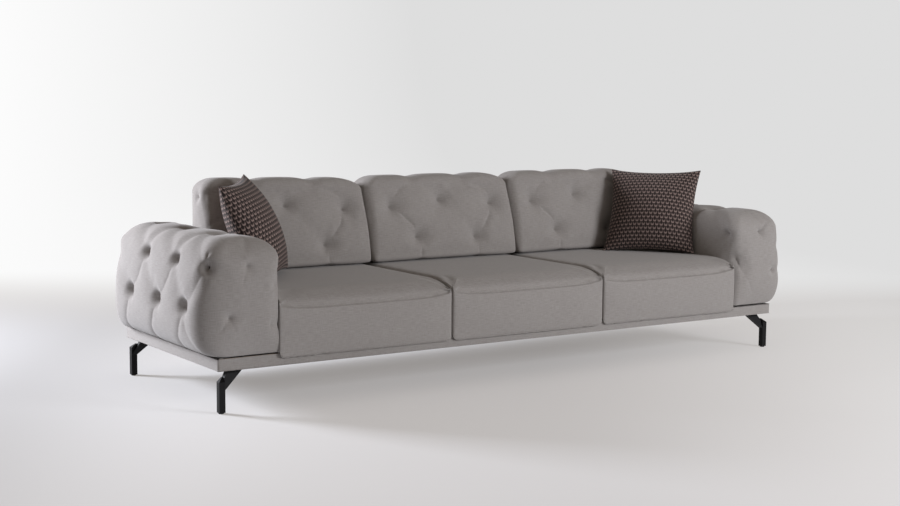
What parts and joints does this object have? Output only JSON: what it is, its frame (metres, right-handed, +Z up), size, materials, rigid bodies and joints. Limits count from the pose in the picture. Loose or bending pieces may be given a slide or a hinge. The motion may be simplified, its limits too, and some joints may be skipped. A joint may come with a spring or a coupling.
{
  "type": "four-seater sofa",
  "caption": "Long low upholstered sofa with tufted arms, sliding tufted backs, a slim fabric-covered base on cranked steel legs and loose scatter cushions.",
  "frame": {"origin": "On the floor, at the middle of the base", "axes": "+X along the length to the right as seen from the front, -Y the front, +Z up"},
  "size_m": [2.952, 0.94, 0.8228],
  "materials": {
    "upholstery": "soft warm grey woven cloth",
    "cushion_jacquard": "taupe jacquard with a dark staggered motif",
    "dust_cloth": "black non-woven cloth",
    "fibre_filling": "white loose fibre",
    "foam": "open-cell cream foam",
    "webbing": "woven elastic strap",
    "black_steel": "satin black powder coat",
    "zinc_steel": "zinc-plated steel",
    "bolt_steel": "bright zinc-plated steel",
    "glide_nylon": "black nylon",
    "plywood": "raw plywood",
    "softwood": "planed softwood"
  },
  "bodies": {
    "frame": {"arm_bolts": "bolt_steel", "arm_left_boards": "plywood", "arm_left_cover": "upholstery", "arm_left_end_boards": "plywood", "arm_left_foam": "foam", "arm_left_side_panels": "plywood", "arm_right_boards": "plywood", "arm_right_cover": "upholstery", "arm_right_end_boards": "plywood", "arm_right_foam": "foam", "arm_right_side_panels": "plywood", "base_band": "upholstery", "base_corner_blocks": "softwood", "base_cross_rails": "softwood", "base_front_rail": "softwood", "base_left_rail": "softwood", "base_long_rails": "softwood", "base_rear_rail": "softwood", "base_right_rail": "softwood", "dust_cover": "dust_cloth", "leg_bolts": "bolt_steel", "leg_glides": "glide_nylon", "seat_left_cover": "upholstery", "seat_left_foam": "foam", "seat_left_frame": "softwood", "seat_left_webbing": "webbing", "seat_middle_cover": "upholstery", "seat_middle_foam": "foam", "seat_middle_frame": "softwood", "seat_middle_webbing": "webbing", "seat_right_cover": "upholstery", "seat_right_foam": "foam", "seat_right_frame": "softwood", "seat_right_webbing": "webbing", "slide_channels": "zinc_steel", "steel_leg_front_left": "black_steel", "steel_leg_front_right": "black_steel", "steel_leg_rear_left": "black_steel", "steel_leg_rear_right": "black_steel"},
    "back_left": {"back_left_bolts": "bolt_steel", "back_left_carriers": "zinc_steel", "back_left_cover": "upholstery", "back_left_foam": "foam", "back_left_panel": "plywood"},
    "back_middle": {"back_middle_bolts": "bolt_steel", "back_middle_carriers": "zinc_steel", "back_middle_cover": "upholstery", "back_middle_foam": "foam", "back_middle_panel": "plywood"},
    "back_right": {"back_right_bolts": "bolt_steel", "back_right_carriers": "zinc_steel", "back_right_cover": "upholstery", "back_right_foam": "foam", "back_right_panel": "plywood"},
    "scatter_left": {"scatter_left_cover": "cushion_jacquard", "scatter_left_filling": "fibre_filling"},
    "scatter_right": {"scatter_right_cover": "cushion_jacquard", "scatter_right_filling": "fibre_filling"}
  },
  "joints": [
    {"name": "back_left_slide", "type": "slide", "parent": "frame", "child": "back_left", "axis": [0, 1, 0], "range_m": [0, 0.2]},
    {"name": "back_middle_slide", "type": "slide", "parent": "frame", "child": "back_middle", "axis": [0, 1, 0], "range_m": [0, 0.2]},
    {"name": "back_right_slide", "type": "slide", "parent": "frame", "child": "back_right", "axis": [0, 1, 0], "range_m": [0, 0.2]},
    {"name": "scatter_left_lift", "type": "slide", "parent": "frame", "child": "scatter_left", "axis": [0, 0, 1], "range_m": [0, 0.4]},
    {"name": "scatter_right_lift", "type": "slide", "parent": "frame", "child": "scatter_right", "axis": [0, 0, 1], "range_m": [0, 0.4]}
  ]
}
